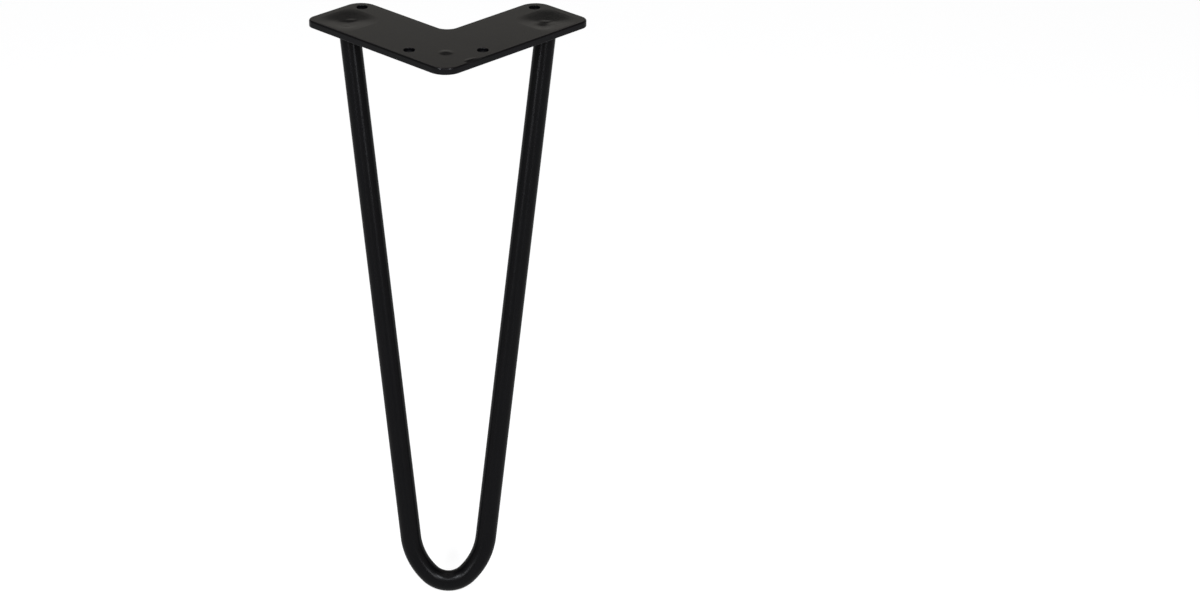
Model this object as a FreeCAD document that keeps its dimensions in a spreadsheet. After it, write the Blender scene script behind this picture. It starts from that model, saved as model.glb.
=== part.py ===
import FreeCAD, Part
import math
import os

import Sketcher

# Two-rod hairpin table leg: a flat corner plate with one bent steel bar welded under it.
#
# Frame, in millimetres: +Z up, origin on the plate's top face where the centre lines of its two arms
# cross. The plate's outer corner points along -Y, one arm runs to +X +Y and the other to -X +Y, and the
# bar hangs below, with its foot at the lowest Z. The leg is symmetric about the plane X = 0.
#
# A point of the plate is measured in the arms' own directions: along one arm from the plate's sharp
# outer corner, and in from the same arm's outer edge.
SIZES = {
    # Plate outline
    "arm_length": 114.0,
    "arm_width": 44.0,
    "plate_thickness": 4.0,
    "outer_corner_radius": 10.8,
    "inner_corner_radius": 7.0,
    "end_outer_radius": 6.8,
    "end_inner_radius": 10.8,
    "top_edge_round": 0.9,
    "under_edge_round": 0.4,
    # Screw holes
    "hole_diameter": 6.4,
    "hole_edge_chamfer": 0.3,
    "corner_hole_along": 37.0,
    "corner_hole_inset": 8.5,
    "end_hole_from_end": 9.0,
    "end_hole_from_inner_edge": 8.0,
    # Shallow dish that the welding heat sinks into the top face over each rod end
    "dish_diameter": 21.0,
    "dish_floor_diameter": 9.0,
    "dish_depth": 0.7,
    # Bent bar
    "rod_diameter": 12.0,
    "rod_end_from_end": 19.0,
    "rod_end_inset": 16.8,
    "overall_height": 330.0,
    "foot_setback": 13.9,
    "foot_bend_radius": 15.3,
    "foot_bend_angle": 88.8,
    "flank_bend_radius": 38.0,
    "saw_allowance": 6.0,
    # Fillet weld in the corner between each rod end and the plate
    "weld_leg": 4.0,
}


def make_sheet(doc):
    """The driving dimensions, one named cell each."""
    sheet = doc.addObject("Spreadsheet::Sheet", "sizes")
    for row, (name, value) in enumerate(SIZES.items(), start=1):
        sheet.set(f"A{row}", name)
        sheet.set(f"B{row}", str(value))
        sheet.setAlias(f"B{row}", name)
    doc.recompute()


def make_layout(doc):
    """Places that follow from the driving dimensions and that more than one piece uses."""
    layout = doc.addObject("App::VarSet", "layout")
    formulas = {
        # Sharp outer corner of the plate
        "corner_y": "-sizes.arm_width / sqrt(2)",
        # Centre of the right rod end, on the plate's underside
        "rod_end_along": "sizes.arm_length - sizes.rod_end_from_end",
        "rod_end_x": "(layout.rod_end_along - sizes.rod_end_inset) / sqrt(2)",
        "rod_end_y": "(layout.rod_end_along + sizes.rod_end_inset) / sqrt(2) + layout.corner_y",
        # Lowest point of the bar's centre line
        "foot_y": "layout.corner_y + sizes.foot_setback",
        "foot_drop": "sizes.overall_height - sizes.plate_thickness - sizes.rod_diameter / 2",
        # Length of the bar in the leaning plane that it is bent in, and the lean from upright in degrees
        "slant": "sqrt(pow(layout.foot_drop; 2) + pow(layout.rod_end_y - layout.foot_y; 2))",
        "lean": "atan((layout.rod_end_y - layout.foot_y) / layout.foot_drop) / 1deg",
    }
    for name, formula in formulas.items():
        layout.addProperty("App::PropertyFloat", name)
        layout.setExpression(name, formula)
    doc.recompute()
    return layout


def origin_plane(body, role):
    """One of the body's own origin planes, such as XY_Plane."""
    return next(plane for plane in body.Origin.OriginFeatures if plane.Role == role)


def new_sketch(body, name, role):
    """A sketch of the body on one of its origin planes."""
    sketch = body.newObject("Sketcher::SketchObject", name)
    sketch.AttachmentSupport = (origin_plane(body, role), [""])
    sketch.MapMode = "FlatFace"
    return sketch


def turn_to_arms(sketch):
    """Puts a sketch at the plate's sharp outer corner, with x along the right arm and y along the left."""
    quarter = FreeCAD.Rotation(FreeCAD.Vector(0, 0, 1), 45)
    sketch.AttachmentOffset = FreeCAD.Placement(FreeCAD.Vector(0, 0, 0), quarter)
    sketch.setExpression("AttachmentOffset.Base.y", "layout.corner_y")


def constrain(sketch, kind, *where, formula=None):
    """Adds one constraint to a sketch, and ties its value to an expression if one is given."""
    index = sketch.addConstraint(Sketcher.Constraint(kind, *where))
    if formula:
        sketch.setExpression(f"Constraints[{index}]", formula)


def line(sketch, start, end):
    """Adds a line to a sketch."""
    return sketch.addGeometry(Part.LineSegment(FreeCAD.Vector(*start), FreeCAD.Vector(*end)), False)


def soften(doc, body, kind, name, base, test, size):
    """Adds a Fillet or a Chamfer to every edge of the last feature that passes a test."""
    edges = [f"Edge{i}" for i, edge in enumerate(base.Shape.Edges, start=1) if test(edge)]
    feature = body.newObject(f"PartDesign::{kind}", name)
    feature.Base = (base, edges)
    feature.setExpression("Radius" if kind == "Fillet" else "Size", f"sizes.{size}")
    doc.recompute()
    return feature


def upright_edge_at(along, inset):
    """A test for the plate's upright corner edges at one place of both arms."""
    corner_y = -SIZES["arm_width"] / math.sqrt(2)
    places = [(along, inset), (inset, along)]

    def test(edge):
        if len(edge.Vertexes) != 2 or abs(edge.tangentAt(edge.FirstParameter).z) < 0.999:
            return False
        point = edge.Vertexes[0].Point
        right = (point.y - corner_y + point.x) / math.sqrt(2)
        left = (point.y - corner_y - point.x) / math.sqrt(2)
        return any(math.hypot(right - a, left - b) < 0.001 for a, b in places)

    return test


def level_edge_at(height):
    """A test for the edges that lie flat at one height."""
    def test(edge):
        box = edge.BoundBox
        return abs(box.ZMin - height) < 0.001 and abs(box.ZMax - height) < 0.001

    return test


def is_hole_mouth(edge):
    """True for the upper rim of a screw hole."""
    if not level_edge_at(0)(edge) or not isinstance(edge.Curve, Part.Circle):
        return False
    return edge.isClosed() and abs(edge.Curve.Radius - SIZES["hole_diameter"] / 2) < 0.001


def sketch_outline(sketch):
    """The plate's outline with sharp corners: two like arms that meet at a right angle."""
    long, wide = SIZES["arm_length"], SIZES["arm_width"]
    corners = [(0, 0), (long, 0), (long, wide), (wide, wide), (wide, long), (0, long)]
    for start, end in zip(corners, corners[1:] + corners[:1]):
        line(sketch, start, end)
    for side in range(len(corners)):
        constrain(sketch, "Coincident", side, 2, (side + 1) % len(corners), 1)
        constrain(sketch, "Vertical" if side % 2 else "Horizontal", side)
    constrain(sketch, "Coincident", 0, 1, -1, 1)
    constrain(sketch, "DistanceX", -1, 1, 0, 2, long, formula="sizes.arm_length")
    constrain(sketch, "DistanceY", -1, 1, 4, 2, long, formula="sizes.arm_length")
    constrain(sketch, "DistanceX", -1, 1, 3, 1, wide, formula="sizes.arm_width")
    constrain(sketch, "DistanceY", -1, 1, 3, 1, wide, formula="sizes.arm_width")


def sketch_holes(sketch):
    """The right arm's screw holes: one near the plate's corner and one in the arm's inner end corner."""
    places = {
        ("sizes.corner_hole_along", "sizes.corner_hole_inset"):
            (SIZES["corner_hole_along"], SIZES["corner_hole_inset"]),
        ("sizes.arm_length - sizes.end_hole_from_end", "sizes.arm_width - sizes.end_hole_from_inner_edge"):
            (SIZES["arm_length"] - SIZES["end_hole_from_end"],
             SIZES["arm_width"] - SIZES["end_hole_from_inner_edge"]),
    }
    radius = SIZES["hole_diameter"] / 2
    for (along_formula, inset_formula), (along, inset) in places.items():
        centre = FreeCAD.Vector(along, inset, 0)
        hole = sketch.addGeometry(Part.Circle(centre, FreeCAD.Vector(0, 0, 1), radius), False)
        constrain(sketch, "DistanceX", -1, 1, hole, 3, along, formula=along_formula)
        constrain(sketch, "DistanceY", -1, 1, hole, 3, inset, formula=inset_formula)
        constrain(sketch, "Radius", hole, radius, formula="sizes.hole_diameter / 2")


def sketch_dish(sketch):
    """Half of the dish's section, from its axis out to its rim: a level floor and a sloping side."""
    rim, floor, depth = SIZES["dish_diameter"] / 2, SIZES["dish_floor_diameter"] / 2, SIZES["dish_depth"]
    corners = [(0, 0), (0, -depth), (floor, -depth), (rim, 0)]
    for start, end in zip(corners, corners[1:] + corners[:1]):
        line(sketch, start, end)
    for side in range(len(corners)):
        constrain(sketch, "Coincident", side, 2, (side + 1) % len(corners), 1)
    constrain(sketch, "Coincident", 0, 1, -1, 1)
    constrain(sketch, "Vertical", 0)
    constrain(sketch, "Horizontal", 1)
    constrain(sketch, "Horizontal", 3)
    constrain(sketch, "DistanceY", 0, 2, 0, 1, depth, formula="sizes.dish_depth")
    constrain(sketch, "DistanceX", 1, 1, 1, 2, floor, formula="sizes.dish_floor_diameter / 2")
    constrain(sketch, "DistanceX", -1, 1, 3, 1, rim, formula="sizes.dish_diameter / 2")


def make_plate(doc):
    """Corner plate: an L of flat steel with rounded corners, four screw holes and two weld dishes."""
    body = doc.addObject("PartDesign::Body", "plate_body")
    body.Label = "mounting_plate"

    outline = new_sketch(body, "plate_outline", "XY_Plane")
    turn_to_arms(outline)
    sketch_outline(outline)
    doc.recompute()

    last = body.newObject("PartDesign::Pad", "plate_blank")
    last.Profile = outline
    last.Reversed = True
    last.setExpression("Length", "sizes.plate_thickness")
    doc.recompute()

    long, wide = SIZES["arm_length"], SIZES["arm_width"]
    rounds = {
        "outer_corner": (upright_edge_at(0, 0), "outer_corner_radius"),
        "inner_corner": (upright_edge_at(wide, wide), "inner_corner_radius"),
        "outer_ends": (upright_edge_at(long, 0), "end_outer_radius"),
        "inner_ends": (upright_edge_at(long, wide), "end_inner_radius"),
        "top_edge": (level_edge_at(0), "top_edge_round"),
        "under_edge": (level_edge_at(-SIZES["plate_thickness"]), "under_edge_round"),
    }
    for name, (test, size) in rounds.items():
        last = soften(doc, body, "Fillet", name, last, test, size)

    hole_centres = new_sketch(body, "hole_centres", "XY_Plane")
    turn_to_arms(hole_centres)
    sketch_holes(hole_centres)
    doc.recompute()
    holes = body.newObject("PartDesign::Pocket", "right_screw_holes")
    holes.Profile = hole_centres
    holes.Type = "ThroughAll"
    doc.recompute()

    dish_section = new_sketch(body, "dish_section", "XZ_Plane")
    dish_section.setExpression("AttachmentOffset.Base.x", "layout.rod_end_x")
    dish_section.setExpression("AttachmentOffset.Base.z", "-layout.rod_end_y")
    sketch_dish(dish_section)
    doc.recompute()
    dish = body.newObject("PartDesign::Groove", "right_weld_dish")
    dish.Profile = dish_section
    dish.ReferenceAxis = (dish_section, ["V_Axis"])
    dish.Angle = 360
    doc.recompute()

    mirrored = body.newObject("PartDesign::Mirrored", "left_arm_cuts")
    mirrored.Originals = [holes, dish]
    mirrored.MirrorPlane = (origin_plane(body, "YZ_Plane"), [""])
    body.Tip = mirrored
    doc.recompute()

    body.Tip = soften(doc, body, "Chamfer", "hole_mouths", mirrored, is_hole_mouth, "hole_edge_chamfer")
    doc.recompute()
    return body


def make_rod_path(doc, layout):
    """The bar's centre line, in the plane that leans in from the rod ends to the foot.

    The sketch's origin lies midway between the rod ends on the plate's underside, and its y axis points
    up the lean. The foot is one tight bend with a wider flank bend each side, as a bar takes when it is
    bent round a small former. The straight rods then run up past the underside by the saw allowance.
    """
    path = doc.addObject("Sketcher::SketchObject", "rod_path")
    path.Placement = FreeCAD.Placement(FreeCAD.Vector(0, 0, 0), FreeCAD.Rotation(FreeCAD.Vector(1, 0, 0), 90))
    path.setExpression("Placement.Base.y", "layout.rod_end_y")
    path.setExpression("Placement.Base.z", "-sizes.plate_thickness")
    path.setExpression("Placement.Rotation.Angle", "90 - layout.lean")

    foot_radius, flank_radius = SIZES["foot_bend_radius"], SIZES["flank_bend_radius"]
    allowance = SIZES["saw_allowance"]
    half_turn = math.radians(SIZES["foot_bend_angle"] / 2)
    rod_end = FreeCAD.Vector(layout.rod_end_x, 0, 0)
    foot_centre = FreeCAD.Vector(0, foot_radius - layout.slant, 0)
    outward = FreeCAD.Vector(math.sin(half_turn), -math.cos(half_turn), 0)
    joint = foot_centre + outward * foot_radius
    flank_centre = joint - outward * flank_radius
    reach = rod_end - flank_centre
    splay = math.atan2(reach.x, reach.y) - math.asin(flank_radius / reach.Length)
    upward = FreeCAD.Vector(math.sin(splay), math.cos(splay), 0)
    touch = flank_centre + FreeCAD.Vector(upward.y, -upward.x, 0) * flank_radius
    top = rod_end + upward * allowance

    def mirror(point):
        return FreeCAD.Vector(-point.x, point.y, 0)

    def arc(centre, start, end):
        """An arc from start to end, turning to the left."""
        first, last = start - centre, end - centre
        circle = Part.Circle(centre, FreeCAD.Vector(0, 0, 1), first.Length)
        angles = (math.atan2(first.y, first.x), math.atan2(last.y, last.x))
        return path.addGeometry(Part.ArcOfCircle(circle, *angles), False)

    right_rod = line(path, top, touch)
    right_flank = arc(flank_centre, joint, touch)
    foot = arc(foot_centre, mirror(joint), joint)
    left_flank = arc(mirror(flank_centre), mirror(touch), mirror(joint))
    left_rod = line(path, mirror(touch), mirror(top))
    end_point = path.addGeometry(Part.Point(rod_end), True)

    constrain(path, "Tangent", right_rod, 2, right_flank, 2)
    constrain(path, "Tangent", right_flank, 1, foot, 2)
    constrain(path, "Tangent", foot, 1, left_flank, 2)
    constrain(path, "Tangent", left_flank, 1, left_rod, 1)
    constrain(path, "PointOnObject", foot, 3, -2)
    constrain(path, "Horizontal", foot, 1, foot, 2)
    constrain(path, "Equal", right_flank, left_flank)
    constrain(path, "Symmetric", right_rod, 1, left_rod, 2, -2)
    constrain(path, "PointOnObject", end_point, 1, right_rod)
    constrain(path, "PointOnObject", end_point, 1, -1)
    constrain(path, "DistanceX", -1, 1, end_point, 1, rod_end.x, formula="layout.rod_end_x")
    constrain(path, "Distance", right_rod, 1, end_point, 1, allowance, formula="sizes.saw_allowance")
    constrain(path, "Radius", foot, foot_radius, formula="sizes.foot_bend_radius")
    constrain(path, "Radius", right_flank, flank_radius, formula="sizes.flank_bend_radius")
    constrain(path, "DistanceX", -1, 1, foot, 2, joint.x,
              formula="sizes.foot_bend_radius * sin(sizes.foot_bend_angle / 2 * 1deg)")
    constrain(path, "DistanceY", foot, 3, -1, 1, -foot_centre.y,
              formula="layout.slant - sizes.foot_bend_radius")
    doc.recompute()
    return path


def make_rod(doc, path):
    """Round bar swept along its centre line, with both ends sawn flush with the plate's underside."""
    section = doc.addObject("Part::Circle", "rod_section")
    section.setExpression("Radius", "sizes.rod_diameter / 2")
    section.AttachmentSupport = (path, ["Edge1"])
    section.MapMode = "NormalToEdge"
    doc.recompute()

    bar = doc.addObject("Part::Sweep", "bent_bar")
    bar.Sections = [section]
    bar.Spine = (path, [f"Edge{i}" for i, _ in enumerate(path.Shape.Edges, start=1)])
    bar.Solid = True
    bar.Frenet = True

    offcuts = doc.addObject("Part::Box", "space_above_underside")
    offcuts.setExpression("Length", "4 * sizes.arm_length")
    offcuts.setExpression("Width", "4 * sizes.arm_length")
    offcuts.setExpression("Height", "2 * (sizes.saw_allowance + sizes.rod_diameter)")
    offcuts.setExpression("Placement.Base.x", "-2 * sizes.arm_length")
    offcuts.setExpression("Placement.Base.y", "-2 * sizes.arm_length")
    offcuts.setExpression("Placement.Base.z", "-sizes.plate_thickness")
    doc.recompute()

    rod = doc.addObject("Part::Cut", "sawn_bar")
    rod.Base = bar
    rod.Tool = offcuts
    rod.Label = "hairpin_rod"
    doc.recompute()
    return rod


def make_weld(doc, side, sign, rod):
    """Fillet weld bead round one rod end, in the corner between the bar and the plate's underside.

    The bead is a cone that narrows downwards at 45 degrees until it is all inside the bar, less the bar.
    """
    cone = doc.addObject("Part::Cone", f"{side}_weld_cone")
    cone.setExpression("Radius1", "sizes.rod_diameter / 4")
    cone.setExpression("Radius2", "sizes.rod_diameter / 2 + sizes.weld_leg")
    cone.setExpression("Height", "sizes.rod_diameter / 4 + sizes.weld_leg")
    cone.setExpression("Placement.Base.x", f"{sign} * layout.rod_end_x")
    cone.setExpression("Placement.Base.y", "layout.rod_end_y")
    cone.setExpression("Placement.Base.z", "-sizes.plate_thickness - sizes.rod_diameter / 4 - sizes.weld_leg")

    bead = doc.addObject("Part::Cut", f"{side}_bead")
    bead.Base = cone
    bead.Tool = rod
    bead.Label = f"{side}_weld_bead"
    doc.recompute()
    return bead


def check(doc, pieces):
    """Stops if any object of the document failed, or if a piece isn't one sound solid."""
    for thing in doc.Objects:
        if "Invalid" in thing.State or "Error" in thing.State:
            raise RuntimeError(f"{thing.Label} failed: {thing.State}")
    for piece in pieces:
        shape = piece.Shape
        if shape.isNull() or not shape.isValid() or len(shape.Solids) != 1:
            raise RuntimeError(f"{piece.Label} isn't one sound solid")


def export(pieces):
    """Writes each piece to a file of its own, named after it."""
    os.makedirs("parts", exist_ok=True)
    for piece in pieces:
        piece.Shape.exportStep(f"parts/{piece.Label}.step")


def main():
    doc = FreeCAD.newDocument("hairpin_leg")
    make_sheet(doc)
    layout = make_layout(doc)
    plate = make_plate(doc)
    rod = make_rod(doc, make_rod_path(doc, layout))
    beads = [make_weld(doc, side, sign, rod) for side, sign in (("left", -1), ("right", 1))]
    pieces = [plate, rod, *beads]
    check(doc, pieces)
    export(pieces)


main()
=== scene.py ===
import math

import bpy
from bpy.props import FloatProperty, FloatVectorProperty, IntProperty, PointerProperty
from mathutils import Matrix, Vector


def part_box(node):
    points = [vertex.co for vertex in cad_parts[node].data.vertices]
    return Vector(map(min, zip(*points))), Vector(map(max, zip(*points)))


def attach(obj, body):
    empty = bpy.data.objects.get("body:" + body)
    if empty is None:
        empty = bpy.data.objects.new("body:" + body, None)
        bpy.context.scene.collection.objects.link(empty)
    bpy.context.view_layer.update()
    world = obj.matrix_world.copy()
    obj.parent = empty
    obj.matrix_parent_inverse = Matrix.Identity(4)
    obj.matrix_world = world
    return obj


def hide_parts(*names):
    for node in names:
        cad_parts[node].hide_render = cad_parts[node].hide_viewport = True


bl_info = {
    "name": "Hairpin Table Leg",
    "version": (1, 0, 0),
    "blender": (4, 5, 0),
    "location": "View3D > Sidebar > Hairpin Leg",
    "description": "Builds a powder-coated hairpin table leg with its corner plate and welds",
    "category": "Add Mesh",
}

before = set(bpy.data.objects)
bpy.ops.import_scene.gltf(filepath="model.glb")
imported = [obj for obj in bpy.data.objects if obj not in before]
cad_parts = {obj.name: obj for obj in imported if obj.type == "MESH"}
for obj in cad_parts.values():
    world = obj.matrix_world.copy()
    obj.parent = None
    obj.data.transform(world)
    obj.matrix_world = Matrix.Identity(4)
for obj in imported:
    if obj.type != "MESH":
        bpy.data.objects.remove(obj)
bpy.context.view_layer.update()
PLATE_LOW, PLATE_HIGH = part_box("mounting_plate")
FOOT_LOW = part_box("hairpin_rod")[0]
BODY = "root"

MM = 0.001
RIGHT_ARM, LEFT_ARM = Vector((1, 1, 0)).normalized(), Vector((-1, 1, 0)).normalized()
ARM_TURN = math.radians(45)

# Differences up to which two heights count as one, and two places.
LEVEL = 0.01 * MM
SAME_PLACE = 0.05 * MM
# A face lies flat if its normal's upright part is longer than this.
FLAT = 0.99
# Edges with a sharper turn than this stay sharp.
SMOOTH_ANGLE = math.radians(50)
# The plate's faces count in its shading by their area, and 50 changes nothing in that.
NORMAL_WEIGHT = 50
# Points as close as this are merged.
MERGE_DISTANCE = 0.001 * MM
# The drill's length, in thicknesses of the plate.
DRILL_LENGTH = 3

# How finely the curved parts are cut.
CORNER_SEGMENTS = 14
TOP_SEGMENTS, UNDER_SEGMENTS, HOLE_SEGMENTS = 5, 3, 3
HOLE_SIDES = 48
OVAL_SEGMENTS, OVAL_RINGS = 48, 24
FLANK_STEPS, FOOT_STEPS = 24, 48
DISH_CUTS, PIP_CUTS = 100, 40

# Marks on the plate's top lie in square patches: half a patch's side, and the share of the
# patch over which its relief fades in from the border.
DISH_REACH, PIP_REACH = 15.0 * MM, 5.2 * MM
PATCH_FADE = 0.15

# The wide dish over each end of the bar: its depth, its half width, its reach to the back and
# to the front of its middle, how far that lies in front of the bar's end, and how square it is.
DISH_DEPTH = 0.72 * MM
DISH_ACROSS, DISH_BACK, DISH_FRONT = 18.0 * MM, 20.5 * MM, 17.0 * MM
DISH_SHIFT = 1.5 * MM
DISH_SQUARENESS = 3
# Shares of the dish's slope that its round bottom and its rounder rim take up.
BOWL_BOTTOM, BOWL_RIM = 0.12, 0.34

# Frozen metal in the two dishes. Places are off the bar's end, and +Y is away from the camera.
LEFT_PUDDLE = dict(place=(-1.0 * MM, -5.8 * MM), reach=8.0 * MM, skew=-2.0 * MM, depth=0.26 * MM)
LEFT_RIPPLES = (
    dict(place=(0.8 * MM, 0.8 * MM), wide=4.2 * MM, deep=3.0 * MM, height=0.10 * MM),
    dict(place=(-1.0 * MM, -7.6 * MM), wide=3.4 * MM, deep=2.6 * MM, height=0.13 * MM),
)
RIGHT_PUDDLE = dict(place=(-2.0 * MM, -8.2 * MM), reach=6.8 * MM, skew=-1.0 * MM, depth=0.46 * MM)
RIGHT_RIPPLES = (
    dict(place=(-0.4 * MM, -0.8 * MM), wide=4.8 * MM, deep=3.0 * MM, height=0.12 * MM),
    dict(place=(4.2 * MM, -3.6 * MM), wide=2.4 * MM, deep=3.2 * MM, height=0.06 * MM),
)

# The small pip near the outer corner, as a hollow of negative depth, and its place on both arms.
PIP = dict(place=(0, -0.5 * MM), reach=4.7 * MM, skew=1.3 * MM, depth=-0.26 * MM)
PIP_INSET = 20.3 * MM

# The knock in the right arm's front edge: an oval burr on it, then an oval hollow out of it.
KNOCK_ALONG = 22.6 * MM
BURR = dict(along=KNOCK_ALONG - 0.8 * MM, inset=3.0 * MM, height=-0.30 * MM,
            size=(5.2 * MM, 2.6 * MM, 0.54 * MM))
HOLLOW = dict(along=KNOCK_ALONG, inset=-0.8 * MM, height=0.90 * MM,
              size=(8.6 * MM, 4.0 * MM, 1.6 * MM))

# A weld bead is a ring of leaning oval ripples, melted together.
RIPPLE_COUNT = 30
RIPPLE_SEGMENTS, RIPPLE_RINGS = 24, 14
RIPPLE_OUT, RIPPLE_ALONG, RIPPLE_DOWN = 2.9 * MM, 1.35 * MM, 2.9 * MM
RIPPLE_OFF_BAR, RIPPLE_OFF_PLATE = 1.1 * MM, 1.0 * MM
RIPPLE_LEAN = math.radians(24)
# How much, and how many times round the bar, the bead grows wider and narrower.
BEAD_SWELL, BEAD_SWELLS = 0.06, 5
MELT_VOXEL = 0.3 * MM
MELT_FACTOR, MELT_ROUNDS = 0.5, 3

# The powder coat on each kind of steel.
COAT_GROUP = "Powder Coat Texture"
COATS = {
    "Coated Sheet": dict(peel_size=900, mottling=0.12, roughness_shift=-0.13, gloss_share=1.05),
    "Coated Bar": dict(peel_size=700, mottling=0.15, roughness_shift=0.0, gloss_share=0.8),
    "Coated Weld": dict(peel_size=1200, mottling=0.2, roughness_shift=0.05, gloss_share=0.8),
}
PATCH_SIZE, PATCH_DETAIL = 70.0, 4.0
PEEL_DETAIL, PEEL_ROUGHNESS = 2.0, 0.45

# The floor's grey for the light on the object, and its grey and glow for what sees it.
FLOOR_PALE = (0.80, 0.80, 0.80, 1)
FLOOR_DIM = (0.20, 0.20, 0.20, 1)
FLOOR_GLOW = 0.87

# The world's light on the object, with 1 for what the camera sees, and its tone.
WORLD_LEVEL = 0.22
WORLD_TONE = (1.0, 0.965, 0.90, 1)
WHITE = (1.0, 1.0, 1.0, 1)
# The sky's brightness at some heights in degrees, darker overhead for the plate's gloss.
SKY_STEPS = ((0, 0.50), (9, 0.80), (15, 0.95), (21, 1.0),
             (23.5, 0.18), (32, 0.25), (42, 0.40), (60, 0.80))

# Each lamp's name, place, width and height, power in watts and colour.
COOL_LIGHT, PLAIN_LIGHT = (0.93, 0.95, 1.0), (1, 1, 1)
LAMPS = (
    ("left_low_softbox", (-0.83, -1.36, 0.40), (0.28, 0.62), 9.5, COOL_LIGHT),
    ("right_low_softbox", (0.69, -1.43, 0.40), (0.28, 0.62), 9.5, COOL_LIGHT),
    ("left_high_softbox", (-0.77, -1.08, 0.93), (0.46, 0.24), 17, COOL_LIGHT),
    ("right_high_softbox", (0.67, -1.14, 0.93), (0.46, 0.24), 17, COOL_LIGHT),
    ("front_softbox", (-0.03, -1.32, 0.92), (0.80, 0.24), 8, COOL_LIGHT),
    ("top_softbox", (0, 0.3, 1.6), (1.4, 1.4), 6, PLAIN_LIGHT),
)
LAMP_AIM = (0, 0.02, -0.15)
SENSOR_WIDTH = 36
CAMERA_REACH = 100


class PlateSizes(bpy.types.PropertyGroup):
    """Sizes of the corner plate, measured along an arm and in from its outer edge."""
    arm_length: FloatProperty(
        name="Arm Length", description="From the sharp outer corner to the arm's end",
        default=114 * MM, unit="LENGTH")
    arm_width: FloatProperty(
        name="Arm Width", description="Width of each arm", default=44 * MM, unit="LENGTH")
    outer_corner: FloatProperty(
        name="Outer Corner", description="Radius of the plate's outer corner",
        default=10.8 * MM, unit="LENGTH")
    inner_corner: FloatProperty(
        name="Inner Corner", description="Radius in the corner between the arms",
        default=7.0 * MM, unit="LENGTH")
    end_outer: FloatProperty(
        name="End Outer Corner", description="Radius of the arm's end at its outer edge",
        default=6.8 * MM, unit="LENGTH")
    end_inner: FloatProperty(
        name="End Inner Corner", description="Radius of the arm's end at its inner edge",
        default=10.8 * MM, unit="LENGTH")
    top_round: FloatProperty(
        name="Top Edge Round", description="Radius of the plate's upper edge",
        default=0.9 * MM, unit="LENGTH")
    under_round: FloatProperty(
        name="Under Edge Round", description="Radius of the plate's lower edge",
        default=0.4 * MM, unit="LENGTH")
    hole_diameter: FloatProperty(
        name="Hole Diameter", description="Diameter of the screw holes",
        default=6.4 * MM, unit="LENGTH")
    hole_round: FloatProperty(
        name="Hole Round", description="Softness of the screw holes' rims",
        default=0.35 * MM, unit="LENGTH")
    corner_hole_along: FloatProperty(
        name="Corner Hole Along", description="Corner hole, along the arm",
        default=37 * MM, unit="LENGTH")
    corner_hole_inset: FloatProperty(
        name="Corner Hole Inset", description="Corner hole, in from the edge",
        default=8.5 * MM, unit="LENGTH")
    end_hole_from_end: FloatProperty(
        name="End Hole From End", description="End hole, back from the arm's end",
        default=9 * MM, unit="LENGTH")
    end_hole_from_inner: FloatProperty(
        name="End Hole From Inner Edge", description="End hole, in from the arm's inner edge",
        default=8 * MM, unit="LENGTH")


class RodSizes(bpy.types.PropertyGroup):
    """Sizes of the bent bar."""
    diameter: FloatProperty(
        name="Bar Diameter", description="Diameter of the coated bar",
        default=12 * MM, unit="LENGTH")
    end_from_end: FloatProperty(
        name="Bar From End", description="Bar's end, back from the arm's end",
        default=19 * MM, unit="LENGTH")
    end_inset: FloatProperty(
        name="Bar Inset", description="Bar's end, in from the plate's outer edge",
        default=16.8 * MM, unit="LENGTH")
    foot_setback: FloatProperty(
        name="Foot Setback", description="Foot, behind the plate's sharp corner",
        default=13.9 * MM, unit="LENGTH")
    foot_radius: FloatProperty(
        name="Foot Bend Radius", description="Radius of the tight bend at the foot",
        default=15.3 * MM, unit="LENGTH")
    foot_angle: FloatProperty(
        name="Foot Bend Angle", description="Turn of the tight bend at the foot",
        default=math.radians(88.8), subtype="ANGLE")
    flank_radius: FloatProperty(
        name="Flank Bend Radius", description="Radius of the wide bend each side",
        default=38 * MM, unit="LENGTH")
    around: IntProperty(
        name="Faces Around", description="Faces round the bar", default=96, min=12)


class FinishValues(bpy.types.PropertyGroup):
    """Colour and sheen of the powder coat."""
    coat_colour: FloatVectorProperty(
        name="Coat Colour", description="Colour of the powder coat",
        default=(0.0009, 0.0009, 0.0012), size=3, subtype="COLOR")
    body_roughness: FloatProperty(
        name="Body Roughness", description="Roughness of the coat's pigmented body",
        default=0.45, min=0, max=1)
    body_specular: FloatProperty(
        name="Body Specular", description="Gloss of the coat's pigmented body",
        default=0.01, min=0, max=1)
    skin_weight: FloatProperty(
        name="Skin Weight", description="Strength of the satin skin's gloss",
        default=0.255, min=0, max=1)
    skin_roughness: FloatProperty(
        name="Skin Roughness", description="Roughness of the satin skin",
        default=0.26, min=0, max=1)
    skin_ior: FloatProperty(
        name="Skin IOR", description="Refraction of the satin skin", default=1.4, min=1)
    peel_depth: FloatProperty(
        name="Orange Peel Depth", description="Depth of the coat's fine waves",
        default=0.012 * MM, unit="LENGTH")


class StageValues(bpy.types.PropertyGroup):
    """Camera and floor."""
    camera_place: FloatVectorProperty(
        name="Camera Place", description="Where the camera stands",
        default=(0.03469, -1.67273, 0.64079), size=3, subtype="TRANSLATION")
    camera_turn: FloatVectorProperty(
        name="Camera Turn", description="The camera's rotation",
        default=[math.radians(angle) for angle in (64.732, 0.3021, 1.061)],
        size=3, subtype="EULER")
    lens: FloatProperty(
        name="Lens", description="Focal length on a 36 mm wide sensor", default=98.03)
    picture_width: IntProperty(
        name="Picture Width", description="Width of the picture in pixels", default=1200)
    axis_column: FloatProperty(
        name="Axis Column", description="Picture column that the lens points at",
        default=446.57)
    floor_size: FloatProperty(
        name="Floor Size", description="Side of the square floor", default=12, unit="LENGTH")


def deselect_all():
    """Leaves object mode with nothing selected."""
    if bpy.context.object and bpy.context.object.mode != "OBJECT":
        bpy.ops.object.mode_set(mode="OBJECT")
    bpy.ops.object.select_all(action="DESELECT")


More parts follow.
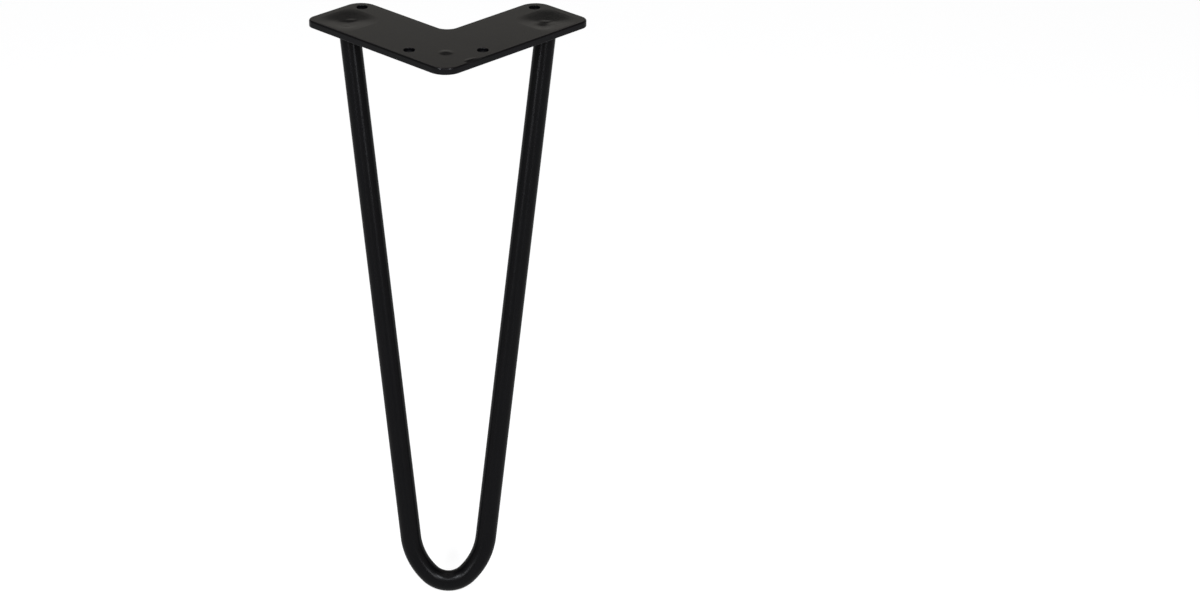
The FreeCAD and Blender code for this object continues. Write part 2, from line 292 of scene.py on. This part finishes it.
def activate(piece):
    """Makes one piece the only selected and the active one."""
    deselect_all()
    piece.select_set(True)
    bpy.context.view_layer.objects.active = piece


def named(name):
    """Names the primitive that was just added, and returns it."""
    piece = bpy.context.object
    piece.name = name
    piece.data.name = name
    return piece


def select_parts(piece, kind, test):
    """Opens a piece in edit mode with the edges or polygons selected that pass a test."""
    activate(piece)
    bpy.ops.object.mode_set(mode="EDIT")
    bpy.ops.mesh.select_mode(type={"edges": "EDGE", "polygons": "FACE"}[kind])
    bpy.ops.mesh.select_all(action="DESELECT")
    bpy.ops.object.mode_set(mode="OBJECT")
    for part in getattr(piece.data, kind):
        part.select = test(part)
    bpy.ops.object.mode_set(mode="EDIT")


def select_whole(piece):
    """Opens a piece in edit mode with all of it selected, by its vertices."""
    activate(piece)
    bpy.ops.object.mode_set(mode="EDIT")
    bpy.ops.mesh.select_mode(type="VERT")
    bpy.ops.mesh.select_all(action="SELECT")


def close_edit():
    """Goes back to object mode."""
    bpy.ops.object.mode_set(mode="OBJECT")


def settle():
    """Puts the place, turn and scale of what is selected into its mesh."""
    bpy.ops.object.transform_apply(location=True, rotation=True, scale=True)


def apply_modifier(piece, kind, **values):
    """Adds a modifier with its values to a piece and applies it."""
    activate(piece)
    modifier = piece.modifiers.new(kind.title(), kind)
    for name, value in values.items():
        setattr(modifier, name, value)
    bpy.ops.object.modifier_apply(modifier=modifier.name)


def smooth(piece):
    """Shades a piece smooth, apart from its sharp edges."""
    activate(piece)
    bpy.ops.object.shade_smooth_by_angle(angle=SMOOTH_ANGLE)


def finish_piece(piece, material, node):
    """Gives a piece its finish, and puts it on the object in place of a node of the frame."""
    piece.data.materials.clear()
    piece.data.materials.append(material)
    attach(piece, BODY)
    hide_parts(node)


class PlateShape:
    """Places on the plate, in the frame's axes."""

    def __init__(self, sizes):
        self.corner = Vector((0, -sizes.arm_width / math.sqrt(2), 0))
        self.thickness = PLATE_HIGH[2] - PLATE_LOW[2]

    def place(self, along, inset, side=1):
        """A point of the top face, along an arm and in from its edge; side -1 is the left arm."""
        x = side * (along - inset) / math.sqrt(2)
        return self.corner + Vector((x, (along + inset) / math.sqrt(2), 0))

    def arm_place(self, point):
        """How far a point lies along the right arm and along the left arm."""
        local = point - self.corner
        return (local.y + local.x) / math.sqrt(2), (local.y - local.x) / math.sqrt(2)


def near(value, target):
    """Whether two heights are one."""
    return abs(value - target) < LEVEL


def round_edges(plate, test, radius, segments):
    """Rounds the plate's edges that pass a test."""
    select_parts(plate, "edges", test)
    bpy.ops.mesh.bevel(offset=radius, segments=segments, affect="EDGES", offset_type="OFFSET")
    close_edit()


def bevel_upright(plate, shape, along, inset, radius):
    """Rounds the plate's upright corner edges at one place of both arms."""
    places = [(along, inset), (inset, along)]

    def test(edge):
        ends = [plate.data.vertices[index].co for index in edge.vertices]
        if near(ends[0].z, ends[1].z):
            return False
        right, left = shape.arm_place(ends[0])
        return any(math.hypot(right - a, left - b) < SAME_PLACE for a, b in places)

    round_edges(plate, test, radius, CORNER_SEGMENTS)


def bevel_rim(plate, height, radius, segments, test=lambda ends: True):
    """Rounds the edges between the plate's sides or holes and one of its flat faces."""
    counts = {}
    for face in plate.data.polygons:
        if abs(face.normal.z) > FLAT:
            for key in face.edge_keys:
                counts[key] = counts.get(key, 0) + 1

    def on_rim(edge):
        ends = [plate.data.vertices[index].co for index in edge.vertices]
        level = all(near(end.z, height) for end in ends)
        return level and counts.get(tuple(sorted(edge.vertices)), 0) == 1 and test(ends)

    round_edges(plate, on_rim, radius, segments)


def hole_places(sizes, shape):
    """Centres of the four screw holes."""
    end_along = sizes.arm_length - sizes.end_hole_from_end
    end_inset = sizes.arm_width - sizes.end_hole_from_inner
    places = []
    for side in (-1, 1):
        places.append(shape.place(sizes.corner_hole_along, sizes.corner_hole_inset, side))
        places.append(shape.place(end_along, end_inset, side))
    return places


def frame_patch(plate, shape, centre, half):
    """Cuts the outline of a square patch, turned with the arms, into the top face round it."""
    right, left = shape.arm_place(centre)

    def holds(face):
        if not near(face.center.z, 0) or face.normal.z < FLAT:
            return False
        corners = [plate.data.vertices[index].co for index in face.vertices]
        rights, lefts = zip(*(shape.arm_place(corner) for corner in corners))
        return min(rights) < right < max(rights) and min(lefts) < left < max(lefts)

    for direction in (RIGHT_ARM, LEFT_ARM):
        for sign in (-1, 1):
            select_parts(plate, "polygons", holds)
            border = centre + direction * sign * half
            bpy.ops.mesh.bisect(plane_co=border, plane_no=direction)
            close_edit()


def divide_patch(plate, centre, cuts):
    """Divides a framed patch into a fine grid."""
    def framed(face):
        return face.normal.z > FLAT and (face.center - centre).length < SAME_PLACE

    if not any(framed(face) for face in plate.data.polygons):
        raise RuntimeError("no framed patch on the plate")
    select_parts(plate, "polygons", framed)
    bpy.ops.mesh.subdivide(number_cuts=cuts)
    close_edit()


def press(plate, centre, reach, height_at):
    """Moves the patch round a place up or down, by a formula that fades out at its border."""
    for vertex in plate.data.vertices:
        offset = vertex.co - centre
        offset.z = 0
        inside = 1 - (abs(offset.x) + abs(offset.y)) / (math.sqrt(2) * reach)
        if vertex.co.z > -SAME_PLACE and inside > 0:
            vertex.co.z += height_at(offset) * (1 - smooth_step(inside / PATCH_FADE))


def smooth_step(share):
    """1 at a share of 0 and 0 from a share of 1, level at both."""
    return 0.5 + 0.5 * math.cos(math.pi * min(share, 1))


def bowl(share):
    """As smooth_step, but with a straight slope between a round bottom and a rounder rim."""
    share = min(share, 1)
    whole = 1 - (BOWL_BOTTOM + BOWL_RIM) / 2
    if share < BOWL_BOTTOM:
        run = share ** 2 / (2 * BOWL_BOTTOM)
    elif share < 1 - BOWL_RIM:
        run = share - BOWL_BOTTOM / 2
    else:
        run = whole - (1 - share) ** 2 / (2 * BOWL_RIM)
    return 1 - run / whole


def sunk(offset, place, reach, skew, depth):
    """Height of a round hollow whose deepest point lies off its middle, to +Y by the skew."""
    deepest = Vector((place[0], place[1] + skew, 0))
    away = offset - deepest
    spread = reach ** 2 - skew ** 2
    along = away.y * skew
    share = (along + math.sqrt(along ** 2 + spread * away.length_squared)) / spread
    return -depth * smooth_step(share)


def mound(offset, place, wide, deep, height):
    """Height of a soft oval mound."""
    across, along = (offset.x - place[0]) / wide, (offset.y - place[1]) / deep
    return height * smooth_step(math.hypot(across, along))


def weld_dish(offset):
    """Height of the wide dish, squared up with the arms, that the weld's heat draws in."""
    across, along = offset.x / DISH_ACROSS, (offset.y + DISH_SHIFT) / DISH_BACK
    if along < 0:
        along *= DISH_BACK / DISH_FRONT
    power = DISH_SQUARENESS
    share = ((abs(across + along) ** power + abs(across - along) ** power) / 2) ** (1 / power)
    return -DISH_DEPTH * bowl(share)


def dish_formula(puddle, ripples):
    """The formula of the dish over one end of the bar, with its puddle and frozen ripples."""
    def height_at(offset):
        height = weld_dish(offset)
        height += sunk(offset, **puddle)
        for ripple in ripples:
            height += mound(offset, **ripple)
        return height

    return height_at


def join_new(plate, operation, name):
    """Joins the primitive that was just added to the plate, or cuts it out."""
    tool = named(name)
    apply_modifier(plate, "BOOLEAN", operation=operation, solver="EXACT", object=tool)
    bpy.data.objects.remove(tool)


def join_oval(plate, operation, shape, along, inset, height, size):
    """Joins an oval to the plate at a place of its right arm, or cuts it out."""
    deselect_all()
    bpy.ops.mesh.primitive_uv_sphere_add(
        segments=OVAL_SEGMENTS, ring_count=OVAL_RINGS, radius=1,
        location=shape.place(along, inset) + Vector((0, 0, height)),
        rotation=(0, 0, ARM_TURN), scale=size)
    join_new(plate, operation, "oval")


def drill_hole(plate, centre, diameter):
    """Cuts a screw hole through the plate."""
    deselect_all()
    bpy.ops.mesh.primitive_cylinder_add(
        vertices=HOLE_SIDES, radius=diameter / 2, location=centre,
        depth=(PLATE_HIGH[2] - PLATE_LOW[2]) * DRILL_LENGTH)
    join_new(plate, "DIFFERENCE", "drill")


def build_plate(sizes, rod_sizes, material):
    """The corner plate, from a cube whose sides are drawn out into the two arms."""
    shape = PlateShape(sizes)
    thickness = shape.thickness
    deselect_all()
    bpy.ops.mesh.primitive_cube_add(
        size=1, location=(0, 0, -thickness / 2), rotation=(0, 0, ARM_TURN),
        scale=(sizes.arm_width, sizes.arm_width, thickness))
    plate = named("corner_plate")
    settle()
    for direction in (RIGHT_ARM, LEFT_ARM):
        side = direction * sizes.arm_width / 2
        select_parts(plate, "polygons", lambda face: (face.center - side).xy.length < SAME_PLACE)
        draw = direction * (sizes.arm_length - sizes.arm_width)
        bpy.ops.mesh.extrude_region_move(TRANSFORM_OT_translate={"value": draw})
        close_edit()

    long, wide = sizes.arm_length, sizes.arm_width
    bevel_upright(plate, shape, 0, 0, sizes.outer_corner)
    bevel_upright(plate, shape, wide, wide, sizes.inner_corner)
    bevel_upright(plate, shape, long, 0, sizes.end_outer)
    bevel_upright(plate, shape, long, wide, sizes.end_inner)
    bevel_rim(plate, 0, sizes.top_round, TOP_SEGMENTS)
    bevel_rim(plate, -thickness, sizes.under_round, UNDER_SEGMENTS)

    bar_along = sizes.arm_length - rod_sizes.end_from_end
    left_end = shape.place(bar_along, rod_sizes.end_inset, -1)
    right_end = shape.place(bar_along, rod_sizes.end_inset)
    pip = shape.place(PIP_INSET, PIP_INSET)
    marks = (
        (left_end, DISH_REACH, DISH_CUTS, dish_formula(LEFT_PUDDLE, LEFT_RIPPLES)),
        (right_end, DISH_REACH, DISH_CUTS, dish_formula(RIGHT_PUDDLE, RIGHT_RIPPLES)),
        (pip, PIP_REACH, PIP_CUTS, lambda offset: sunk(offset, **PIP)),
    )
    # The patches are framed while the top is whole, and divided once nothing cuts it any more.
    for centre, reach, _, _ in marks:
        frame_patch(plate, shape, centre, reach)

    holes = hole_places(sizes, shape)
    for centre in holes:
        drill_hole(plate, centre, sizes.hole_diameter)

    def by_hole(ends):
        return any((ends[0] - centre).xy.length < sizes.hole_diameter for centre in holes)

    bevel_rim(plate, 0, sizes.hole_round, HOLE_SEGMENTS, by_hole)
    join_oval(plate, "UNION", shape, **BURR)
    join_oval(plate, "DIFFERENCE", shape, **HOLLOW)
    for centre, reach, cuts, height_at in marks:
        divide_patch(plate, centre, cuts)
        press(plate, centre, reach, height_at)

    smooth(plate)
    apply_modifier(plate, "WEIGHTED_NORMAL", mode="FACE_AREA", weight=NORMAL_WEIGHT,
                   keep_sharp=True)
    finish_piece(plate, material, "mounting_plate")


class RodRoute:
    """The bar's centre line, in the plane that leans from the plate's underside to the foot."""

    def __init__(self, plate_sizes, sizes):
        shape = PlateShape(plate_sizes)
        end = shape.place(plate_sizes.arm_length - sizes.end_from_end, sizes.end_inset)
        foot = Vector((0, shape.corner.y + sizes.foot_setback, FOOT_LOW[2] + sizes.diameter / 2))
        self.middle = Vector((0, end.y, PLATE_LOW[2]))
        self.down = (foot - self.middle).normalized()
        self.normal = Vector((1, 0, 0)).cross(self.down)

        # In that plane: the two bends touch where the foot's has made half its turn, and the
        # straight run to the bar's end touches the wide one.
        slant = (foot - self.middle).length
        half_turn = sizes.foot_angle / 2
        outward = Vector((math.sin(half_turn), math.cos(half_turn)))
        foot_centre = Vector((0, slant - sizes.foot_radius))
        joint = foot_centre + outward * sizes.foot_radius
        flank_centre = joint - outward * sizes.flank_radius
        reach = flank_centre - Vector((end.x, 0))
        splay = math.atan2(-reach.x, reach.y) - math.asin(sizes.flank_radius / reach.length)
        touch = flank_centre + Vector((math.cos(splay), math.sin(splay))) * sizes.flank_radius

        self.flank_turn = half_turn - splay
        self.run = (touch - Vector((end.x, 0))).length
        self.top = self.point(end.x, 0)
        self.rod_down = (self.point(touch.x, touch.y) - self.top).normalized()
        self.right_centre = self.point(flank_centre.x, flank_centre.y)
        self.foot_centre = self.point(foot_centre.x, foot_centre.y)
        self.left_centre = self.point(-flank_centre.x, flank_centre.y)

    def point(self, across, down):
        """A point of the leaning plane, across from its middle and down from the underside."""
        return self.middle + Vector((across, 0, 0)) + self.down * down


def build_rod(plate_sizes, sizes, material):
    """The bent bar: a ring drawn down one rod, spun round three bends and drawn up the other."""
    route = RodRoute(plate_sizes, sizes)
    down = route.rod_down
    up = Vector((down.x, -down.y, -down.z))
    allowance = sizes.diameter / 2
    deselect_all()
    bpy.ops.mesh.primitive_circle_add(
        vertices=sizes.around, radius=sizes.diameter / 2, fill_type="NOTHING",
        location=route.top - down * allowance, rotation=down.to_track_quat("Z", "Y").to_euler())
    rod = named("bent_rod")
    settle()

    select_whole(rod)
    straight = allowance + route.run
    bpy.ops.mesh.extrude_region_move(TRANSFORM_OT_translate={"value": down * straight})
    bends = (
        (route.right_centre, route.flank_turn, FLANK_STEPS),
        (route.foot_centre, sizes.foot_angle, FOOT_STEPS),
        (route.left_centre, route.flank_turn, FLANK_STEPS),
    )
    for centre, angle, steps in bends:
        bpy.ops.mesh.spin(steps=steps, angle=-angle, center=centre, axis=route.normal)
    bpy.ops.mesh.extrude_region_move(TRANSFORM_OT_translate={"value": up * straight})
    bpy.ops.mesh.select_all(action="SELECT")
    bpy.ops.mesh.remove_doubles(threshold=MERGE_DISTANCE)

    # Both ends are sawn off flush with the plate's underside.
    bpy.ops.mesh.select_all(action="SELECT")
    bpy.ops.mesh.bisect(
        plane_co=(0, 0, PLATE_LOW[2]), plane_no=(0, 0, 1), clear_outer=True, use_fill=True)
    bpy.ops.mesh.select_all(action="SELECT")
    bpy.ops.mesh.normals_make_consistent(inside=False)
    close_edit()
    smooth(rod)
    finish_piece(rod, material, "hairpin_rod")


def build_bead(plate_sizes, sizes, side, material):
    """One weld bead: overlapping ripples laid round the bar's end, melted under the plate."""
    shape = PlateShape(plate_sizes)
    end = shape.place(plate_sizes.arm_length - sizes.end_from_end, sizes.end_inset, side)
    end.z = PLATE_LOW[2]
    ring = sizes.diameter / 2 + RIPPLE_OFF_BAR
    deselect_all()
    bpy.ops.mesh.primitive_uv_sphere_add(
        segments=RIPPLE_SEGMENTS, ring_count=RIPPLE_RINGS, radius=1)
    ripple = named("ripple")
    copies = []
    for index in range(RIPPLE_COUNT):
        angle = 2 * math.pi * index / RIPPLE_COUNT
        copy = ripple.copy()
        copy.data = ripple.data.copy()
        bpy.context.collection.objects.link(copy)
        swell = 1 + BEAD_SWELL * math.sin(BEAD_SWELLS * angle + side)
        spot = end + Vector((math.cos(angle) * ring, math.sin(angle) * ring, -RIPPLE_OFF_PLATE))
        size = Matrix.Diagonal((RIPPLE_OUT * swell, RIPPLE_ALONG, RIPPLE_DOWN, 1))
        turn = Matrix.Rotation(angle, 4, "Z") @ Matrix.Rotation(RIPPLE_LEAN, 4, "X")
        copy.matrix_world = Matrix.Translation(spot) @ turn @ size
        copies.append(copy)
    bpy.data.objects.remove(ripple)

    deselect_all()
    for copy in copies:
        copy.select_set(True)
    bpy.context.view_layer.objects.active = copies[0]
    bpy.ops.object.join()
    bead = named("right_weld_ripples" if side > 0 else "left_weld_ripples")
    settle()
    apply_modifier(bead, "REMESH", mode="VOXEL", voxel_size=MELT_VOXEL)
    apply_modifier(bead, "SMOOTH", factor=MELT_FACTOR, iterations=MELT_ROUNDS)
    select_whole(bead)
    bpy.ops.mesh.bisect(plane_co=end, plane_no=(0, 0, 1), clear_outer=True, use_fill=True)
    close_edit()
    smooth(bead)
    finish_piece(bead, material, "right_weld_bead" if side > 0 else "left_weld_bead")


def add_node(tree, kind, place, inputs=(), **settings):
    """Adds a shader node with its settings, and with the values of its inputs by name."""
    node = tree.nodes.new(kind)
    node.location = place
    for name, value in settings.items():
        setattr(node, name, value)
    for name, value in dict(inputs).items():
        node.inputs[name].default_value = value
    return node


def add_math(tree, operation, place, *values):
    """Adds a maths node for numbers or other nodes' outputs, and gives its result."""
    node = add_node(tree, "ShaderNodeMath", place, operation=operation)
    for socket, value in zip(node.inputs, values):
        if isinstance(value, float):
            socket.default_value = value
        else:
            tree.links.new(value, socket)
    return node.outputs[0]


def coat_texture_group():
    """Node group: the fine waves and the mottling of a baked powder coat."""
    tree = bpy.data.node_groups.new(COAT_GROUP, "ShaderNodeTree")
    for name, kind, default in (
            ("Vector", "NodeSocketVector", None), ("Colour", "NodeSocketColor", None),
            ("Roughness", "NodeSocketFloat", 0.4), ("Gloss", "NodeSocketFloat", 0.25),
            ("Peel Size", "NodeSocketFloat", 900), ("Mottling", "NodeSocketFloat", 0.1)):
        socket = tree.interface.new_socket(name=name, in_out="INPUT", socket_type=kind)
        if default is not None:
            socket.default_value = default
    for name, kind in (("Colour", "NodeSocketColor"), ("Roughness", "NodeSocketFloat"),
                       ("Gloss", "NodeSocketFloat"), ("Height", "NodeSocketFloat")):
        tree.interface.new_socket(name=name, in_out="OUTPUT", socket_type=kind)
    link = tree.links.new
    inputs = add_node(tree, "NodeGroupInput", (-900, 0)).outputs
    outputs = add_node(tree, "NodeGroupOutput", (600, 0)).inputs

    peel = add_node(tree, "ShaderNodeTexNoise", (-600, 200),
                    {"Detail": PEEL_DETAIL, "Roughness": PEEL_ROUGHNESS})
    link(inputs["Vector"], peel.inputs["Vector"])
    link(inputs["Peel Size"], peel.inputs["Scale"])
    link(peel.outputs["Fac"], outputs["Height"])

    patches = add_node(tree, "ShaderNodeTexNoise", (-600, -100),
                       {"Scale": PATCH_SIZE, "Detail": PATCH_DETAIL})
    link(inputs["Vector"], patches.inputs["Vector"])
    centred = add_math(tree, "SUBTRACT", (-400, -100), patches.outputs["Fac"], 0.5)
    amount = add_math(tree, "MULTIPLY", (-200, -100), centred, inputs["Mottling"])
    rough = add_math(tree, "ADD", (0, -100), inputs["Roughness"], amount)
    link(rough, outputs["Roughness"])

    brightness = add_math(tree, "ADD", (0, -300), 1.0, amount)
    tint = add_node(tree, "ShaderNodeVectorMath", (200, -300), operation="SCALE")
    link(inputs["Colour"], tint.inputs[0])
    link(brightness, tint.inputs["Scale"])
    link(tint.outputs["Vector"], outputs["Colour"])
    gloss = add_math(tree, "MULTIPLY", (200, -500), inputs["Gloss"], brightness)
    link(gloss, outputs["Gloss"])
    return tree


def new_material(name):
    """A material with an empty node tree; gives both."""
    material = bpy.data.materials.new(name)
    material.use_nodes = True
    material.node_tree.nodes.clear()
    return material, material.node_tree


def coat_material(name, finish):
    """Satin black powder coat, with its texture at the scale of one kind of steel."""
    coat = COATS[name]
    material, tree = new_material(name)
    link = tree.links.new
    place = add_node(tree, "ShaderNodeTexCoord", (-900, 0))
    group = bpy.data.node_groups.get(COAT_GROUP) or coat_texture_group()
    texture = add_node(tree, "ShaderNodeGroup", (-600, 0), {
        "Colour": (*finish.coat_colour, 1),
        "Roughness": finish.body_roughness,
        "Gloss": finish.skin_weight * coat["gloss_share"],
        "Peel Size": coat["peel_size"],
        "Mottling": coat["mottling"],
    }, node_tree=group)
    bump = add_node(tree, "ShaderNodeBump", (-300, -200),
                    {"Strength": 1.0, "Distance": finish.peel_depth})
    shader = add_node(tree, "ShaderNodeBsdfPrincipled", (0, 0), {
        "Specular IOR Level": finish.body_specular,
        "Coat Roughness": finish.skin_roughness + coat["roughness_shift"],
        "Coat IOR": finish.skin_ior,
    })
    output = add_node(tree, "ShaderNodeOutputMaterial", (300, 0))
    link(place.outputs["Object"], texture.inputs["Vector"])
    link(texture.outputs["Colour"], shader.inputs["Base Color"])
    link(texture.outputs["Roughness"], shader.inputs["Roughness"])
    link(texture.outputs["Gloss"], shader.inputs["Coat Weight"])
    link(texture.outputs["Height"], bump.inputs["Height"])
    link(bump.outputs["Normal"], shader.inputs["Normal"])
    link(shader.outputs["BSDF"], output.inputs["Surface"])
    return material


def background_rays(tree, x, y):
    """1 for camera, glossy and transmission rays, and 0 for the light on the object."""
    path = add_node(tree, "ShaderNodeLightPath", (x, y)).outputs
    seen = add_math(tree, "MAXIMUM", (x + 200, y), path["Is Camera Ray"], path["Is Glossy Ray"])
    return add_math(tree, "MAXIMUM", (x + 400, y), seen, path["Is Transmission Ray"])


def floor_material():
    """Pale floor that looks white and keeps the object's soft shadow, clear from below."""
    material, tree = new_material("Pale Floor")
    link = tree.links.new
    seen = background_rays(tree, -800, 200)
    pale = add_node(tree, "ShaderNodeBsdfDiffuse", (-400, -100), {"Color": FLOOR_PALE})
    dim = add_node(tree, "ShaderNodeBsdfDiffuse", (-400, -250), {"Color": FLOOR_DIM})
    glow = add_node(tree, "ShaderNodeEmission", (-400, -400), {"Strength": FLOOR_GLOW})
    lifted = add_node(tree, "ShaderNodeAddShader", (-150, -300))
    mix = add_node(tree, "ShaderNodeMixShader", (100, 0))
    side = add_node(tree, "ShaderNodeNewGeometry", (100, 300))
    clear = add_node(tree, "ShaderNodeBsdfTransparent", (100, -200))
    sided = add_node(tree, "ShaderNodeMixShader", (300, 0))
    output = add_node(tree, "ShaderNodeOutputMaterial", (500, 0))
    link(dim.outputs[0], lifted.inputs[0])
    link(glow.outputs[0], lifted.inputs[1])
    link(seen, mix.inputs[0])
    link(pale.outputs[0], mix.inputs[1])
    link(lifted.outputs[0], mix.inputs[2])
    link(side.outputs["Backfacing"], sided.inputs[0])
    link(mix.outputs[0], sided.inputs[1])
    link(clear.outputs[0], sided.inputs[2])
    link(sided.outputs[0], output.inputs["Surface"])
    return material


def build_world():
    """White background, softer light on the object, and a darker ceiling in its gloss."""
    world = bpy.data.worlds.new("Studio")
    bpy.context.scene.world = world
    world.use_nodes = True
    tree = world.node_tree
    tree.nodes.clear()
    link = tree.links.new
    level = add_node(tree, "ShaderNodeMapRange", (-300, 0),
                     {"To Min": WORLD_LEVEL, "To Max": 1.0})
    link(background_rays(tree, -900, 0), level.inputs["Value"])

    path = add_node(tree, "ShaderNodeLightPath", (-900, 300))
    tone = add_node(tree, "ShaderNodeMix", (-300, 300), {"A": WORLD_TONE, "B": WHITE},
                    data_type="RGBA")
    link(path.outputs["Is Camera Ray"], tone.inputs["Factor"])

    direction = add_node(tree, "ShaderNodeTexCoord", (-900, -300))
    parts = add_node(tree, "ShaderNodeSeparateXYZ", (-700, -300))
    sky = add_node(tree, "ShaderNodeValToRGB", (-600, -300))
    link(direction.outputs["Generated"], parts.inputs[0])
    link(parts.outputs["Z"], sky.inputs["Fac"])
    stops = sky.color_ramp.elements
    for elevation, brightness in SKY_STEPS[len(stops):]:
        stops.new(math.sin(math.radians(elevation)))
    for stop, (elevation, brightness) in zip(stops, SKY_STEPS):
        stop.position = math.sin(math.radians(elevation))
        stop.color = (brightness, brightness, brightness, 1)
    shaded = add_math(tree, "MAXIMUM", (-300, -300), sky.outputs["Color"],
                      path.outputs["Is Camera Ray"])
    strength = add_math(tree, "MULTIPLY", (-100, -100), level.outputs["Result"], shaded)

    background = add_node(tree, "ShaderNodeBackground", (100, 0))
    output = add_node(tree, "ShaderNodeOutputWorld", (300, 0))
    link(tone.outputs["Result"], background.inputs["Color"])
    link(strength, background.inputs["Strength"])
    link(background.outputs[0], output.inputs["Surface"])


def add_lamp(name, place, size, power, colour):
    """A rectangular soft lamp that faces the leg."""
    deselect_all()
    turn = (Vector(LAMP_AIM) - Vector(place)).to_track_quat("-Z", "Y").to_euler()
    bpy.ops.object.light_add(type="AREA", location=place, rotation=turn)
    lamp = named(name)
    lamp.data.shape = "RECTANGLE"
    lamp.data.size, lamp.data.size_y = size
    lamp.data.energy = power
    lamp.data.color = colour


def build_stage(values):
    """Floor, world, lamps and the camera."""
    deselect_all()
    bpy.ops.mesh.primitive_plane_add(size=values.floor_size, location=(0, 0, FOOT_LOW[2]))
    floor = named("floor")
    settle()
    floor.data.materials.append(floor_material())
    build_world()
    for lamp in LAMPS:
        add_lamp(*lamp)

    deselect_all()
    bpy.ops.object.camera_add(location=values.camera_place, rotation=values.camera_turn)
    camera = named("camera")
    camera.data.sensor_width = SENSOR_WIDTH
    camera.data.lens = values.lens
    camera.data.shift_x = 0.5 - values.axis_column / values.picture_width
    camera.data.clip_end = CAMERA_REACH
    bpy.context.scene.camera = camera
    bpy.context.scene.view_settings.view_transform = "Standard"


class HAIRPIN_OT_corner_plate(bpy.types.Operator):
    """Build the corner plate with its screw holes, weld dishes and marks"""
    bl_idname = "hairpin.corner_plate"
    bl_label = "Corner Plate"

    def execute(self, context):
        scene = context.scene
        material = coat_material("Coated Sheet", scene.hairpin_finish)
        build_plate(scene.hairpin_plate, scene.hairpin_rod, material)
        return {"FINISHED"}


class HAIRPIN_OT_bent_rod(bpy.types.Operator):
    """Build the bent bar that makes the leg"""
    bl_idname = "hairpin.bent_rod"
    bl_label = "Bent Bar"

    def execute(self, context):
        scene = context.scene
        material = coat_material("Coated Bar", scene.hairpin_finish)
        build_rod(scene.hairpin_plate, scene.hairpin_rod, material)
        return {"FINISHED"}


class HAIRPIN_OT_weld_beads(bpy.types.Operator):
    """Build the weld beads under the plate"""
    bl_idname = "hairpin.weld_beads"
    bl_label = "Weld Beads"

    def execute(self, context):
        scene = context.scene
        material = coat_material("Coated Weld", scene.hairpin_finish)
        for side in (-1, 1):
            build_bead(scene.hairpin_plate, scene.hairpin_rod, side, material)
        return {"FINISHED"}


class HAIRPIN_OT_stage(bpy.types.Operator):
    """Build the floor, the lamps and the camera"""
    bl_idname = "hairpin.stage"
    bl_label = "Stage"

    def execute(self, context):
        build_stage(context.scene.hairpin_stage)
        return {"FINISHED"}


class HAIRPIN_PT_panel(bpy.types.Panel):
    """Sidebar panel with the leg's operators and sizes"""
    bl_label = "Hairpin Leg"
    bl_idname = "HAIRPIN_PT_panel"
    bl_space_type = "VIEW_3D"
    bl_region_type = "UI"
    bl_category = "Hairpin Leg"

    def draw(self, context):
        layout = self.layout
        for operator in OPERATORS:
            layout.operator(operator.bl_idname)
        for name in GROUPS:
            values = getattr(context.scene, name)
            box = layout.box()
            for key in values.__annotations__:
                box.prop(values, key)


GROUPS = {
    "hairpin_plate": PlateSizes,
    "hairpin_rod": RodSizes,
    "hairpin_finish": FinishValues,
    "hairpin_stage": StageValues,
}
OPERATORS = (HAIRPIN_OT_corner_plate, HAIRPIN_OT_bent_rod, HAIRPIN_OT_weld_beads, HAIRPIN_OT_stage)


def register():
    for name, group in GROUPS.items():
        bpy.utils.register_class(group)
        setattr(bpy.types.Scene, name, PointerProperty(type=group))
    for operator in OPERATORS:
        bpy.utils.register_class(operator)
    bpy.utils.register_class(HAIRPIN_PT_panel)


def unregister():
    bpy.utils.unregister_class(HAIRPIN_PT_panel)
    for operator in reversed(OPERATORS):
        bpy.utils.unregister_class(operator)
    for name, group in reversed(GROUPS.items()):
        delattr(bpy.types.Scene, name)
        bpy.utils.unregister_class(group)


def main():
    """Builds the whole scene."""
    register()
    bpy.ops.hairpin.corner_plate()
    bpy.ops.hairpin.bent_rod()
    bpy.ops.hairpin.weld_beads()
    bpy.ops.hairpin.stage()


if __name__ == "__main__":
    main()
